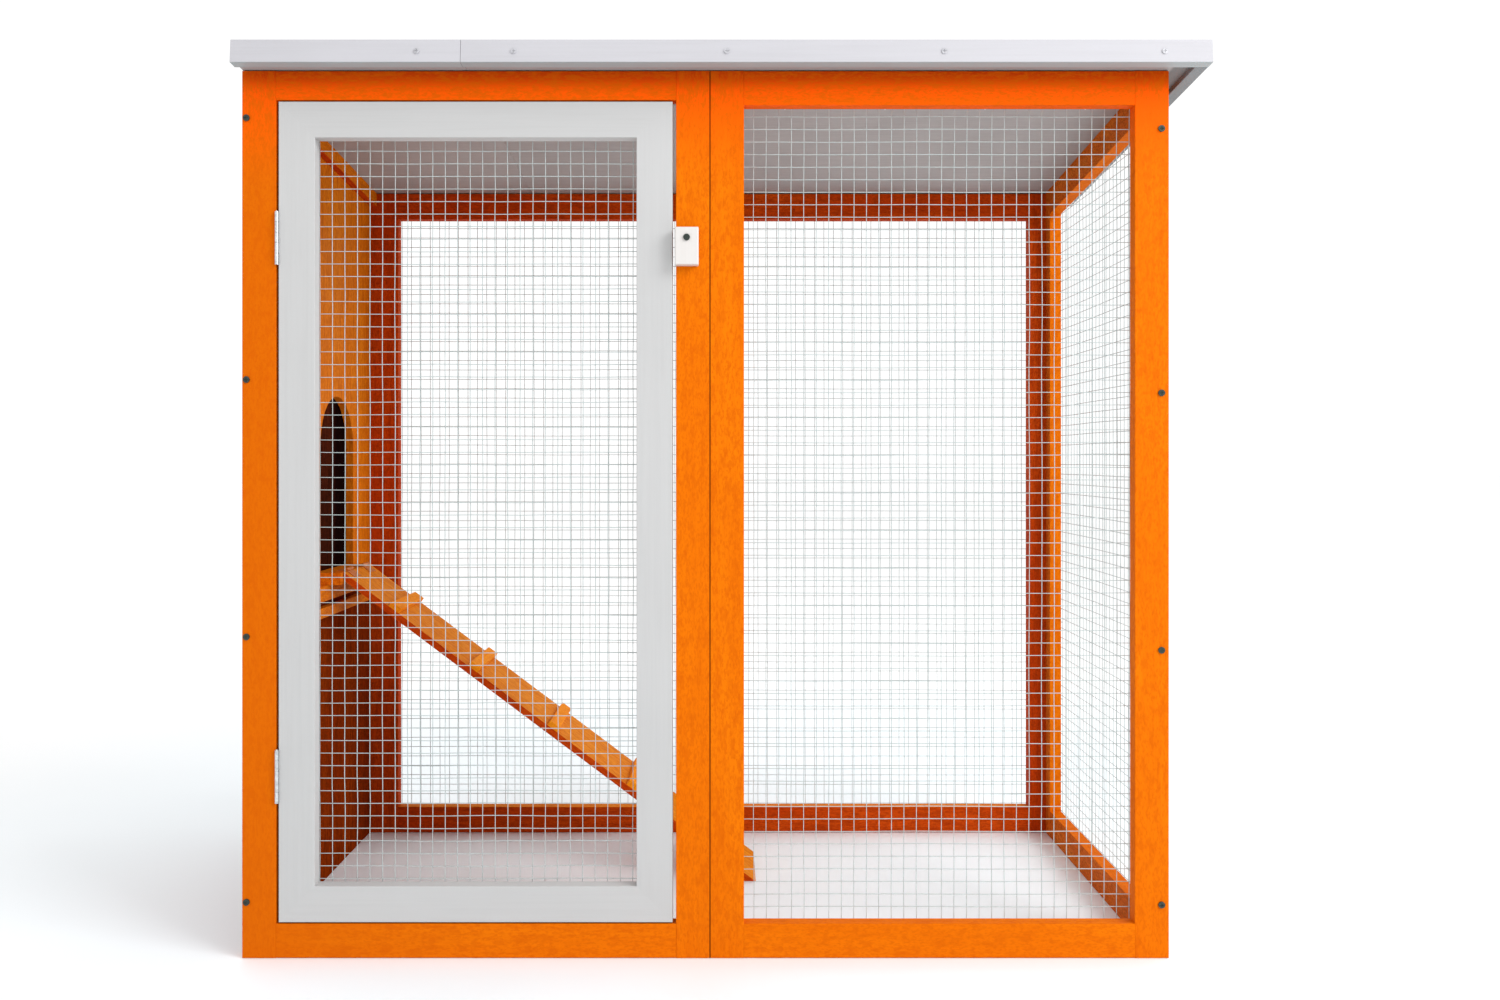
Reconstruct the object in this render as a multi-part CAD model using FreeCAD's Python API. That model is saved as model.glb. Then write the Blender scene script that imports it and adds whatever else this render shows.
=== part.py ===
import FreeCAD, Part
import math
import os

# Sizes in millimetres. X runs along the front from the left end, Y runs back from the front
# face, Z runs up from the ground. Everything is moved to the middle of the footprint on export.

# Run and its framed panels
panel_width = 459.0
run_depth = 415.0
front_height = 887.0
roof_fall = 0.085
lath_width = 34.0
lath_thickness = 15.0
door_head_width = 29.0
back_stile_width = 38.0
side_stile_width = 20.0
edge_round = 0.7

# Welded mesh
mesh_pitch = 12.7
wire_size = 1.1
layer_gap = 0.02
mesh_lap = 16.0
first_wire = 12.0
door_mesh_phase_x = 97.7
door_mesh_phase_z = 391.5
front_mesh_phase_x = 512.1
front_mesh_phase_z = 147.1

# Door, its hinges and its turn button
door_lath_width = 36.0
door_gap_hinge = 2.5
door_gap_latch = 3.5
door_gap_ends = 1.5
hinge_length = 52.0
hinge_leaf_thickness = 1.0
hinge_leaf_depth = 13.0
hinge_knuckle_radius = 1.9
hinge_pin_radius = 0.95
hinge_axis_forward = 1.6
hinge_upper_middle = 720.0
hinge_lower_middle = 182.0
knuckle_count = 5
knuckle_gap = 0.3
button_height = 718.5
button_inset = 11.0
button_long_end = 27.0
button_short_end = 10.5
button_width = 23.5
button_thickness = 12.0
button_gap = 0.4

# Left end wall, pop hole, shutter and landing
wall_thickness = 9.0
wall_board_count = 5
board_gap = 0.3
sill_height = 365.0
arch_width = 123.0
arch_height = 210.0
arch_middle = 266.5
floor_level = 333.0
rail_projection = 9.0
floor_rail_width = 18.0
lower_rail_width = 12.0
rail_spacing = 7.0
batten_width = 18.0
landing_thickness = 14.0
landing_depth = 23.8
shutter_thickness = 6.0
shutter_lap = 15.0
shutter_face_gap = 0.8
guide_lap = 8.0
guide_width = 22.0
guide_lip = 5.0
guide_rest_width = 16.0
shutter_travel = 215.0
knob_radius = 8.0
knob_length = 12.0

# Ramp
ramp_pitch = 0.75
ramp_width = 106.0
ramp_middle = 267.0
ramp_thickness = 7.5
ramp_gap = 0.7
ramp_foot_gap = 0.5
cleat_width = 14.0
cleat_thickness = 6.5
cleat_first = 66.0
cleat_spacing = 117.0
ramp_hinge_length = 22.0
ramp_hinge_leaf = 12.0
ramp_hinge_thickness = 1.2
ramp_knuckle_radius = 2.0
ramp_axis_rise = 2.4
ramp_pin_radius = 1.0

# Roof
roof_split = 225.0
deck_thickness = 12.0
felt_thickness = 2.5
trim_thickness = 13.0
trim_height = 23.0
trim_drop = 5.0
front_overhang = 30.0
side_overhang = 32.0
back_overhang = 30.0
roof_seam = 0.4

# Fasteners
pin_play = 0.05
hole_play = 0.1
frame_screw_head = 3.3
frame_screw_shank = 2.0
frame_screw_length = 32.0
left_screw_shares = (0.063, 0.362, 0.652, 0.947)
right_screw_shares = (0.06, 0.347, 0.637, 0.935)
trim_screw_head = 2.8
trim_screw_shank = 1.6
trim_screw_length = 34.0
trim_screw_crown = 0.9
hinge_screw_head = 2.4
hinge_screw_shank = 1.3
hinge_screw_length = 14.0
staple_width = 10.0
staple_wire = 1.2
staple_spacing = 100.0

# Positions that follow from the sizes
left_panel_end = wall_thickness + panel_width
run_length = left_panel_end + panel_width
back_face = run_depth - lath_thickness
side_face = run_length - lath_thickness
roof_angle = math.atan(roof_fall)
roof_cos = math.cos(roof_angle)
roof_sin = math.sin(roof_angle)


def vec(x, y, z):
    return FreeCAD.Vector(x, y, z)


def underside(y):
    return front_height + roof_fall * (lath_thickness - y)


def block(x0, x1, y0, y1, z0, z1):
    return Part.makeBox(x1 - x0, y1 - y0, z1 - z0, vec(x0, y0, z0))


def prism(points, direction):
    loop = Part.makePolygon(points + points[:1])
    return Part.Face(loop).extrude(direction)


def eased(solid, direction):
    edges = []
    for edge in solid.Edges:
        run = edge.Vertexes[-1].Point - edge.Vertexes[0].Point
        if run.Length > 3 * edge_round and abs(run.normalize().dot(direction)) > 0.999:
            edges.append(edge)
    return solid.makeFillet(edge_round, edges)


def upright(x0, x1, y0, y1, z0, z1):
    return eased(block(x0, x1, y0, y1, z0, z1), vec(0, 0, 1))


def crossbar(x0, x1, y0, y1, z0, z1):
    return eased(block(x0, x1, y0, y1, z0, z1), vec(1, 0, 0))


def depthbar(x0, x1, y0, y1, z0, z1):
    return eased(block(x0, x1, y0, y1, z0, z1), vec(0, 1, 0))


def rod(radius, length, start, direction):
    return Part.makeCylinder(radius, length, start, direction)


def below_roof(solid):
    high = front_height + 400
    far = run_depth + 200
    corners = [vec(-200, -200, underside(-200)), vec(-200, far, underside(far)),
               vec(-200, far, high), vec(-200, -200, high)]
    return solid.cut(prism(corners, vec(run_length + 400, 0, 0)))


def on_roof(solid):
    """Turn a piece made on a level roof down to the slope, about the front frame's back edge."""
    solid = solid.copy()
    solid.rotate(vec(0, lath_thickness, front_height), vec(1, 0, 0), -math.degrees(roof_angle))
    return solid


def screw(head, direction, head_radius, shank_radius, length, crown):
    """A round-headed screw with a cross recess; head is the point where its head meets the face."""
    body = rod(shank_radius, length, head, direction)
    cap = rod(head_radius, crown, head - direction * crown, direction)
    body = body.fuse(cap).removeSplitter()
    side = vec(0, 0, 1) if abs(direction.z) < 0.5 else vec(1, 0, 0)
    up = side - direction * side.dot(direction)
    up.normalize()
    slot_depth = crown * 0.6
    slot_width = head_radius * 0.22
    for arm in (up, direction.cross(up)):
        across = direction.cross(arm)
        start = head - direction * crown - arm * (head_radius * 0.6) - across * (slot_width / 2)
        corners = [start, start + arm * (head_radius * 1.2),
                   start + arm * (head_radius * 1.2) + across * slot_width,
                   start + across * slot_width]
        body = body.cut(prism(corners, direction * slot_depth))
    return body


def screw_hole(head, direction, shank_radius, length):
    return rod(shank_radius + hole_play, length + hole_play, head, direction)


def drilled(solid, holes):
    for hole in holes:
        if solid.BoundBox.intersect(hole.BoundBox):
            solid = solid.cut(hole)
    return solid


# Frames of laths: full-height stiles with rails between them
def frame_of_laths(name, x0, x1, y0, height, left, right, head):
    y1 = y0 + lath_thickness
    foot = lath_width
    return {
        name + "_left_stile": upright(x0, x0 + left, y0, y1, 0, height),
        name + "_right_stile": upright(x1 - right, x1, y0, y1, 0, height),
        name + "_bottom_rail": crossbar(x0 + left, x1 - right, y0, y1, 0, foot),
        name + "_top_rail": crossbar(x0 + left, x1 - right, y0, y1, height - head, height),
    }


# Welded mesh: two flat layers of parallel wires, each layer held by its outermost wires
def wire_lines(low, high, phase):
    first = phase + math.ceil((low - phase) / mesh_pitch) * mesh_pitch
    count = int((high - first) // mesh_pitch) + 1
    return [first + mesh_pitch * n for n in range(count)]


def kept_below(points, line):
    """The part of a convex outline that lies under a line given as its height at each place."""
    kept = []
    for n, (u, v) in enumerate(points):
        next_u, next_v = points[(n + 1) % len(points)]
        over = v - line(u)
        next_over = next_v - line(next_u)
        if over <= 0:
            kept.append((u, v))
        if over * next_over < 0:
            share = over / (over - next_over)
            kept.append((u + (next_u - u) * share, v + (next_v - v) * share))
    return kept


def mesh_layer(slots, outline, place, thickness):
    loops = []
    for points in [outline] + slots:
        corners = [place(u, v) for u, v in points]
        loops.append(Part.makePolygon(corners + corners[:1]))
    return Part.Face(loops, "Part::FaceMakerBullseye").extrude(thickness)


def mesh_panel(us, vs, top, place, normal):
    half = wire_size / 2
    u0, u1, v0 = us[0], us[-1], vs[0]
    outline = [(u0 - half, v0 - half), (u1 + half, v0 - half),
               (u1 + half, top(u1 + half) + half), (u0 - half, top(u0 - half) + half)]
    inner_top = lambda u: top(u) - half
    columns = []
    for a, b in zip(us, us[1:]):
        columns.append([(a + half, v0 + half), (b - half, v0 + half),
                        (b - half, inner_top(b - half)), (a + half, inner_top(a + half))])
    rows = []
    highest = max(top(u0), top(u1))
    for a, b in zip(vs, vs[1:] + [highest + mesh_pitch]):
        slot = [(u0 + half, a + half), (u1 - half, a + half),
                (u1 - half, b - half), (u0 + half, b - half)]
        slot = kept_below(slot, inner_top)
        if len(slot) > 2 and max(v for u, v in slot) - min(v for u, v in slot) > half:
            rows.append(slot)
    step = normal * wire_size
    near = mesh_layer(rows, outline, place, step)
    far = mesh_layer(columns, outline, place, step)
    far.translate(normal * (wire_size + layer_gap))
    return Part.makeCompound([near, far])


def opening_lines(x0, x1, z0, z1, phase_x, phase_z):
    """The wires that cover an upright opening and lap over the laths round it."""
    return (wire_lines(x0 - mesh_lap, x1 + mesh_lap, phase_x),
            wire_lines(z0 - mesh_lap, z1 + mesh_lap, phase_z))


def upright_mesh(lines, y):
    us, vs = lines
    return mesh_panel(us, vs[:-1], lambda u: vs[-1], lambda u, v: vec(u, y, v), vec(0, 1, 0))


def staple(point, along, normal):
    """A wire staple over the mesh: its crown lies on the wires and its legs stand on the lath."""
    across = normal.cross(along)
    reach = 2 * wire_size + layer_gap + 0.1

    def bar(u0, u1, h0, h1):
        w = staple_wire / 2
        corners = [point + along * u0 + across * s * w + normal * h0 for s in (-1, 1)]
        corners = [corners[0], corners[1], corners[1] + along * (u1 - u0), corners[0] + along * (u1 - u0)]
        return prism(corners, normal * (h1 - h0))

    half = staple_width / 2
    crown = bar(-half, half, reach, reach + staple_wire)
    legs = [bar(-half, -half + staple_wire, 0, reach), bar(half - staple_wire, half, 0, reach)]
    return crown.fuse(legs).removeSplitter()


def spread(low, high):
    count = max(1, int(round((high - low) / staple_spacing)))
    return [low + (high - low) * (n + 0.5) / count for n in range(count)]


def nearest(lines, value):
    return min(lines, key=lambda line: abs(line - value))


def between(lines, value):
    """The middle of the gap between two wires that is nearest to a value."""
    return nearest([line + mesh_pitch / 2 for line in lines[:-1]], value)


def panel_staples(lines, y):
    """Staples that straddle the outermost wires of an upright mesh, between the wires that cross."""
    us, vs = lines
    made = []
    for v in spread(vs[0], vs[-1]):
        for u in (us[0], us[-1]):
            made.append(staple(vec(u, y, between(vs, v)), vec(1, 0, 0), vec(0, 1, 0)))
    for u in spread(us[0], us[-1]):
        for v in (vs[0], vs[-1]):
            made.append(staple(vec(between(us, u), y, v), vec(0, 0, 1), vec(0, 1, 0)))
    return made


# A butt hinge about an axis through base along way: knuckles in turn on leaf one and leaf two
def hinge_parts(base, way, length, count, knuckle, pin, plates):
    piece = (length - (count - 1) * knuckle_gap) / count
    leaves = []
    for turn, plate in enumerate(plates):
        for n in range(count):
            start = base + way * (n * (piece + knuckle_gap))
            if n % 2 != turn:
                low = start - way * knuckle_gap
                plate = plate.cut(rod(knuckle + 0.4, piece + 2 * knuckle_gap, low, way))
        for n in range(count):
            start = base + way * (n * (piece + knuckle_gap))
            if n % 2 == turn:
                plate = plate.fuse(rod(knuckle, piece, start, way))
        plate = plate.removeSplitter()
        leaves.append(plate.cut(rod(pin + pin_play, length + 2, base - way, way)))
    cap = rod(knuckle, 0.8, base - way * 0.9, way)
    pin_solid = rod(pin, length + 1.2, base - way * 0.3, way).fuse(cap).removeSplitter()
    return leaves[0], leaves[1], pin_solid


parts = {}
front_screw_holes = []

# Screws through the front stiles into the end wall and the side panel
frame_screws = []
for screw_x, shares in ((wall_thickness / 2, left_screw_shares),
                        (run_length - lath_thickness / 2, right_screw_shares)):
    for share in shares:
        head = vec(screw_x, 0, front_height * share)
        inward = vec(0, 1, 0)
        frame_screws.append(screw(head, inward, frame_screw_head, frame_screw_shank,
                                  frame_screw_length, 1.2))
        front_screw_holes.append(screw_hole(head, inward, frame_screw_shank, frame_screw_length))
parts["frame_screws"] = Part.makeCompound(frame_screws)

# Front panels
parts.update(frame_of_laths("front_door_panel", 0, left_panel_end, 0, front_height,
                            lath_width, lath_width, door_head_width))
parts.update(frame_of_laths("front_fixed_panel", left_panel_end, run_length, 0, front_height,
                            lath_width, lath_width, lath_width))

# Back panels
back_height = underside(run_depth)
parts.update(frame_of_laths("back_left_panel", wall_thickness, left_panel_end, back_face,
                            back_height, back_stile_width, lath_width, lath_width))
parts.update(frame_of_laths("back_right_panel", left_panel_end, run_length, back_face,
                            back_height, lath_width, back_stile_width, lath_width))

# Right-hand side panel, cut to the slope of the roof
side_front_stile_end = lath_thickness + side_stile_width
side_back_stile_start = back_face - side_stile_width
parts["side_panel_front_stile"] = below_roof(upright(
    side_face, run_length, lath_thickness, side_front_stile_end, 0, front_height + 20))
parts["side_panel_back_stile"] = below_roof(upright(
    side_face, run_length, side_back_stile_start, back_face, 0, front_height + 20))
parts["side_panel_bottom_rail"] = depthbar(
    side_face, run_length, side_front_stile_end, side_back_stile_start, 0, lath_width)
slope_points = [vec(side_face, side_front_stile_end, underside(side_front_stile_end)),
                vec(side_face, side_back_stile_start, underside(side_back_stile_start)),
                vec(side_face, side_back_stile_start, underside(side_back_stile_start) - lath_width),
                vec(side_face, side_front_stile_end, underside(side_front_stile_end) - lath_width)]
slope_way = slope_points[1] - slope_points[0]
slope_way.normalize()
parts["side_panel_top_rail"] = eased(prism(slope_points, vec(lath_thickness, 0, 0)), slope_way)

# Door of four mitred laths
door_x0 = lath_width + door_gap_hinge
door_x1 = left_panel_end - lath_width - door_gap_latch
door_z0 = lath_width + door_gap_ends
door_z1 = front_height - door_head_width - door_gap_ends
door_ix0, door_ix1 = door_x0 + door_lath_width, door_x1 - door_lath_width
door_iz0, door_iz1 = door_z0 + door_lath_width, door_z1 - door_lath_width
outer = [(door_x0, door_z0), (door_x1, door_z0), (door_x1, door_z1), (door_x0, door_z1)]
inner = [(door_ix0, door_iz0), (door_ix1, door_iz0), (door_ix1, door_iz1), (door_ix0, door_iz1)]
for n, name in enumerate(("door_bottom_rail", "door_latch_stile", "door_top_rail",
                          "door_hinge_stile")):
    ring = [outer[n], outer[(n + 1) % 4], inner[(n + 1) % 4], inner[n]]
    corners = [vec(x, 0, z) for x, z in ring]
    along = corners[1] - corners[0]
    along.normalize()
    parts[name] = eased(prism(corners, vec(0, lath_thickness, 0)), along)

# Meshes on the laths' far faces
east, north, up = vec(1, 0, 0), vec(0, 1, 0), vec(0, 0, 1)
door_lines = opening_lines(door_ix0, door_ix1, door_iz0, door_iz1,
                           door_mesh_phase_x, door_mesh_phase_z)
fixed_lines = opening_lines(left_panel_end + lath_width, run_length - lath_width,
                            lath_width, front_height - lath_width,
                            front_mesh_phase_x, front_mesh_phase_z)
back_x0, back_x1 = wall_thickness + back_stile_width, left_panel_end - lath_width
back_x2, back_x3 = left_panel_end + lath_width, run_length - back_stile_width
back_z1 = back_height - lath_width
back_left_lines = opening_lines(back_x0, back_x1, lath_width, back_z1,
                                back_x0 - first_wire, lath_width - first_wire)
back_right_lines = opening_lines(back_x2, back_x3, lath_width, back_z1,
                                 back_x2 - first_wire, lath_width - first_wire)
parts["door_mesh"] = upright_mesh(door_lines, lath_thickness)
parts["front_fixed_mesh"] = upright_mesh(fixed_lines, lath_thickness)
parts["back_left_mesh"] = upright_mesh(back_left_lines, run_depth)
parts["back_right_mesh"] = upright_mesh(back_right_lines, run_depth)
side_us = wire_lines(side_front_stile_end - first_wire, side_back_stile_start + first_wire,
                     side_front_stile_end - first_wire)
side_top = lambda u: underside(u) - lath_width + mesh_lap
side_vs = wire_lines(lath_width - first_wire, side_top(side_us[0]), lath_width - first_wire)
parts["side_mesh"] = mesh_panel(side_us, side_vs, side_top,
                                lambda u, v: vec(run_length, u, v), east)

# Staples that hold the meshes
parts["door_staples"] = Part.makeCompound(panel_staples(door_lines, lath_thickness))
run_staples = panel_staples(fixed_lines, lath_thickness)
run_staples += panel_staples(back_left_lines, run_depth)
run_staples += panel_staples(back_right_lines, run_depth)
for v in spread(lath_width, back_z1):
    for u in (side_us[0], side_us[-1]):
        run_staples.append(staple(vec(run_length, u, between(side_vs, v)), north, east))
for u in spread(side_us[0], side_us[-1]):
    run_staples.append(staple(vec(run_length, between(side_us, u), side_vs[0]), up, east))
    wire = nearest(side_us, u)
    height = between(side_vs, side_top(wire) - mesh_lap / 2)
    run_staples.append(staple(vec(run_length, wire, height), north, east))
parts["run_staples"] = Part.makeCompound(run_staples)

# Door hinges in the gap beside the hinge stile
hinge_x = lath_width + door_gap_hinge / 2
frame_leaves, door_leaves, door_pins = [], [], []
frame_leaf_screws, door_leaf_screws = [], []
frame_leaf_holes, door_leaf_holes = [], []
for middle in (hinge_lower_middle, hinge_upper_middle):
    low = middle - hinge_length / 2
    plates = [
        block(lath_width, lath_width + hinge_leaf_thickness, -hinge_axis_forward,
              hinge_leaf_depth, low, low + hinge_length),
        block(door_x0 - hinge_leaf_thickness, door_x0, -hinge_axis_forward,
              hinge_leaf_depth, low, low + hinge_length),
    ]
    one, two, pin = hinge_parts(vec(hinge_x, -hinge_axis_forward, low), up, hinge_length,
                                knuckle_count, hinge_knuckle_radius, hinge_pin_radius, plates)
    for offset in (-hinge_length * 0.3, hinge_length * 0.3):
        place = (hinge_leaf_depth + 0.5) / 2
        for side, way, made, holes in (
                (lath_width, vec(-1, 0, 0), frame_leaf_screws, frame_leaf_holes),
                (door_x0, vec(1, 0, 0), door_leaf_screws, door_leaf_holes)):
            seat = vec(side, place, middle + offset)
            face = seat - way * hinge_leaf_thickness
            cone = Part.makeCone(hinge_screw_head, hinge_screw_shank,
                                 hinge_leaf_thickness, face, way)
            shank = rod(hinge_screw_shank, hinge_screw_length, seat, way)
            made.append(cone.fuse(shank).removeSplitter())
            holes.append(screw_hole(seat, way, hinge_screw_shank, hinge_screw_length))
            opening = Part.makeCone(hinge_screw_head + hole_play, hinge_screw_shank + hole_play,
                                    hinge_leaf_thickness, face, way)
            if way.x < 0:
                one = one.cut(opening)
            else:
                two = two.cut(opening)
    frame_leaves.append(one)
    door_leaves.append(two)
    door_pins.append(pin)
parts["hinge_frame_leaves"] = Part.makeCompound(frame_leaves)
parts["hinge_door_leaves"] = Part.makeCompound(door_leaves)
parts["hinge_pins"] = Part.makeCompound(door_pins)
parts["hinge_frame_screws"] = Part.makeCompound(frame_leaf_screws)
parts["hinge_door_screws"] = Part.makeCompound(door_leaf_screws)

# Turn button beside the door, hanging with its long end down
button_x = left_panel_end - lath_width + button_inset
button_y0 = -button_gap - button_thickness
button = block(button_x - button_width / 2, button_x + button_width / 2, button_y0, -button_gap,
               button_height - button_long_end, button_height + button_short_end)
button = button.makeFillet(1.2, button.Edges)
button_head = vec(button_x, button_y0 - 0.2, button_height)
button_screw_length = button_thickness + button_gap + 0.2 + lath_thickness - 1
button = button.cut(rod(frame_screw_shank + pin_play, 2 * button_thickness,
                        button_head - north * 2, north))
parts["turn_button"] = button
parts["turn_button_screw"] = screw(button_head, north, frame_screw_head, frame_screw_shank,
                                   button_screw_length, 1.2)
button_hole = rod(frame_screw_shank + hole_play, lath_thickness + 1, vec(button_x, 0, button_height), north)

# Left end wall of vertical boards, with the arched pop hole cut through them
arch_radius = arch_width / 2
arch_y0, arch_y1 = arch_middle - arch_radius, arch_middle + arch_radius
spring_height = sill_height + arch_height - arch_radius
arch = block(-1, wall_thickness + 1, arch_y0, arch_y1, sill_height, spring_height)
arch = arch.fuse(rod(arch_radius, wall_thickness + 2, vec(-1, arch_middle, spring_height), east))
board_width = (run_depth - lath_thickness) / wall_board_count
upper_boards, lower_boards = [], []
for n in range(wall_board_count):
    start = lath_thickness + board_width * n
    end = start + board_width - board_gap
    upper = upright(0, wall_thickness, start, end, floor_level + board_gap, front_height + 20)
    upper_boards.append(below_roof(upper).cut(arch))
    lower_boards.append(upright(0, wall_thickness, start, end, 0, floor_level))
parts["wall_upper_boards"] = Part.makeCompound(
    [drilled(b, front_screw_holes) for b in upper_boards])
parts["wall_lower_boards"] = Part.makeCompound(
    [drilled(b, front_screw_holes) for b in lower_boards])

# Rails on the inside of the wall, the top batten and the landing in front of the pop hole
inside = wall_thickness
floor_rail_top = sill_height - landing_thickness
floor_rail = depthbar(inside, inside + rail_projection, lath_thickness, back_face,
                      floor_rail_top - floor_rail_width, floor_rail_top)
lower_rail_top = floor_rail_top - floor_rail_width - rail_spacing
lower_rail = depthbar(inside, inside + rail_projection, lath_thickness, back_face,
                      lower_rail_top - lower_rail_width, lower_rail_top)
parts["wall_rails"] = Part.makeCompound([floor_rail, lower_rail])
batten_points = [vec(inside, lath_thickness, underside(lath_thickness)),
                 vec(inside, back_face, underside(back_face)),
                 vec(inside, back_face, underside(back_face) - batten_width),
                 vec(inside, lath_thickness, underside(lath_thickness) - batten_width)]
parts["wall_top_batten"] = eased(prism(batten_points, vec(rail_projection, 0, 0)), slope_way)
landing_end = inside + landing_depth
parts["landing_board"] = depthbar(inside, landing_end, arch_y0, arch_y1,
                                  floor_rail_top, sill_height)

# Sliding shutter outside the pop hole, with its guides, bottom batten and knob
shutter_y0, shutter_y1 = arch_y0 - shutter_lap, arch_y1 + shutter_lap
shutter_z0 = sill_height - shutter_lap
shutter_z1 = sill_height + arch_height + shutter_lap
shutter_out = -shutter_face_gap - shutter_thickness
parts["shutter"] = upright(shutter_out, -shutter_face_gap, shutter_y0, shutter_y1,
                           shutter_z0, shutter_z1)
guide_out = shutter_out - shutter_face_gap - guide_lip
guide_z1 = shutter_z1 + shutter_travel + 10
guides = []
for edge, way in ((shutter_y0, -1), (shutter_y1, 1)):
    slot = edge + way * shutter_face_gap
    lip = edge - way * guide_lap
    end = lip + way * guide_width
    corners = [vec(0, slot, shutter_z0), vec(0, end, shutter_z0), vec(guide_out, end, shutter_z0),
               vec(guide_out, lip, shutter_z0), vec(guide_out + guide_lip, lip, shutter_z0),
               vec(guide_out + guide_lip, slot, shutter_z0)]
    guides.append(prism(corners, vec(0, 0, guide_z1 - shutter_z0)))
guide_end0 = shutter_y0 + guide_lap - guide_width
guide_end1 = shutter_y1 - guide_lap + guide_width
guides.append(depthbar(guide_out, 0, guide_end0, guide_end1,
                       shutter_z0 - guide_rest_width, shutter_z0 - board_gap))
parts["shutter_guides"] = Part.makeCompound(guides)
knob_z = sill_height + 25
stem = rod(knob_radius * 0.55, knob_length, vec(shutter_out - knob_length, arch_middle, knob_z), east)
ball = rod(knob_radius, knob_length * 0.55, vec(shutter_out - knob_length, arch_middle, knob_z), east)
ball = ball.makeFillet(1.5, [e for e in ball.Edges if e.Closed and e.Curve.TypeId == "Part::GeomCircle"])
parts["shutter_knob"] = stem.fuse(ball).removeSplitter()

# Ramp: a sloped board with cleats, hinged on top of the landing's edge
ramp_x0 = landing_end + ramp_gap
ramp_x1 = ramp_x0 + sill_height / ramp_pitch
ramp_angle = math.atan(ramp_pitch)
ramp_down = vec(math.cos(ramp_angle), 0, -math.sin(ramp_angle))
ramp_normal = vec(math.sin(ramp_angle), 0, math.cos(ramp_angle))
ramp_y0, ramp_y1 = ramp_middle - ramp_width / 2, ramp_middle + ramp_width / 2
drop = ramp_thickness / math.cos(ramp_angle)
shift = ramp_thickness / math.sin(ramp_angle)
foot_x = ramp_x1 - ramp_foot_gap / ramp_pitch
ramp_points = [vec(ramp_x0, ramp_y0, sill_height), vec(foot_x, ramp_y0, ramp_foot_gap),
               vec(foot_x - shift, ramp_y0, ramp_foot_gap), vec(ramp_x0, ramp_y0, sill_height - drop)]
parts["ramp_board"] = prism(ramp_points, vec(0, ramp_width, 0))
ramp_top = vec(ramp_x0, ramp_y0, sill_height)
ramp_length = (sill_height - ramp_foot_gap) / math.sin(ramp_angle)
cleats = []
place = cleat_first
while place + cleat_width < ramp_length - 20:
    start = ramp_top + ramp_down * place
    corners = [start, start + ramp_down * cleat_width,
               start + ramp_down * cleat_width + ramp_normal * cleat_thickness,
               start + ramp_normal * cleat_thickness]
    cleats.append(eased(prism(corners, vec(0, ramp_width, 0)), north))
    place += cleat_spacing
parts["ramp_cleats"] = Part.makeCompound(cleats)
axis_x = landing_end + ramp_gap / 2
axis_z = sill_height + ramp_axis_rise
landing_leaves, ramp_leaves, ramp_pins = [], [], []
for middle in (ramp_y0 + 22, ramp_y1 - 22):
    low = middle - ramp_hinge_length / 2
    level = block(axis_x - ramp_hinge_leaf, axis_x, low, low + ramp_hinge_length,
                  sill_height, sill_height + ramp_hinge_thickness)
    start = vec(ramp_x0, low, sill_height)
    corners = [start - ramp_down * 0.3, start + ramp_down * ramp_hinge_leaf]
    corners += [corners[1] + ramp_normal * ramp_hinge_thickness,
                corners[0] + ramp_normal * ramp_hinge_thickness]
    sloped = prism(corners, vec(0, ramp_hinge_length, 0))
    one, two, pin = hinge_parts(vec(axis_x, low, axis_z), north, ramp_hinge_length, 3,
                                ramp_knuckle_radius, ramp_pin_radius, [level, sloped])
    landing_leaves.append(one)
    ramp_leaves.append(two)
    ramp_pins.append(pin)
parts["ramp_hinge_landing_leaves"] = Part.makeCompound(landing_leaves)
parts["ramp_hinge_ramp_leaves"] = Part.makeCompound(ramp_leaves)
parts["ramp_hinge_pins"] = Part.makeCompound(ramp_pins)

# Roof: two decks, a felt covering and trim boards, made level and turned to the slope
deck_a0 = trim_thickness - front_overhang
deck_a1 = lath_thickness + (run_depth - lath_thickness) / roof_cos + back_overhang - trim_thickness
deck_x1 = run_length + side_overhang - trim_thickness
deck_z = front_height
parts["roof_deck_left"] = on_roof(block(0, roof_split - roof_seam, deck_a0, deck_a1,
                                        deck_z, deck_z + deck_thickness))
parts["roof_deck_right"] = on_roof(block(roof_split, deck_x1, deck_a0, deck_a1,
                                         deck_z, deck_z + deck_thickness))
felt_z = deck_z + deck_thickness
parts["roof_felt"] = on_roof(block(0, deck_x1, deck_a0, deck_a1, felt_z, felt_z + felt_thickness))
trim_z0, trim_z1 = deck_z - trim_drop, deck_z - trim_drop + trim_height
front_a0, back_a1 = deck_a0 - trim_thickness, deck_a1 + trim_thickness
trim_end = deck_x1 + trim_thickness
trim_screw_z = deck_z + deck_thickness / 2
trim_holes, trim_screws = [], []
for x in (roof_split * 0.81, roof_split * 1.23, run_length * 0.523, run_length * 0.752,
          run_length * 0.984):
    head = vec(x, front_a0, trim_screw_z)
    trim_screws.append(on_roof(screw(head, north, trim_screw_head, trim_screw_shank,
                                     trim_screw_length, trim_screw_crown)))
    trim_holes.append(screw_hole(head, north, trim_screw_shank, trim_screw_length))
for share in (0.2, 0.5, 0.8):
    head = vec(trim_end, deck_a0 + (deck_a1 - deck_a0) * share, trim_screw_z)
    trim_screws.append(on_roof(screw(head, vec(-1, 0, 0), trim_screw_head, trim_screw_shank,
                                     trim_screw_length, trim_screw_crown)))
    trim_holes.append(screw_hole(head, vec(-1, 0, 0), trim_screw_shank, trim_screw_length))
parts["trim_screws"] = Part.makeCompound(trim_screws)
trim_holes = [on_roof(hole) for hole in trim_holes]
parts["trim_front_left"] = on_roof(crossbar(0, roof_split - roof_seam, front_a0, deck_a0,
                                            trim_z0, trim_z1))
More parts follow.
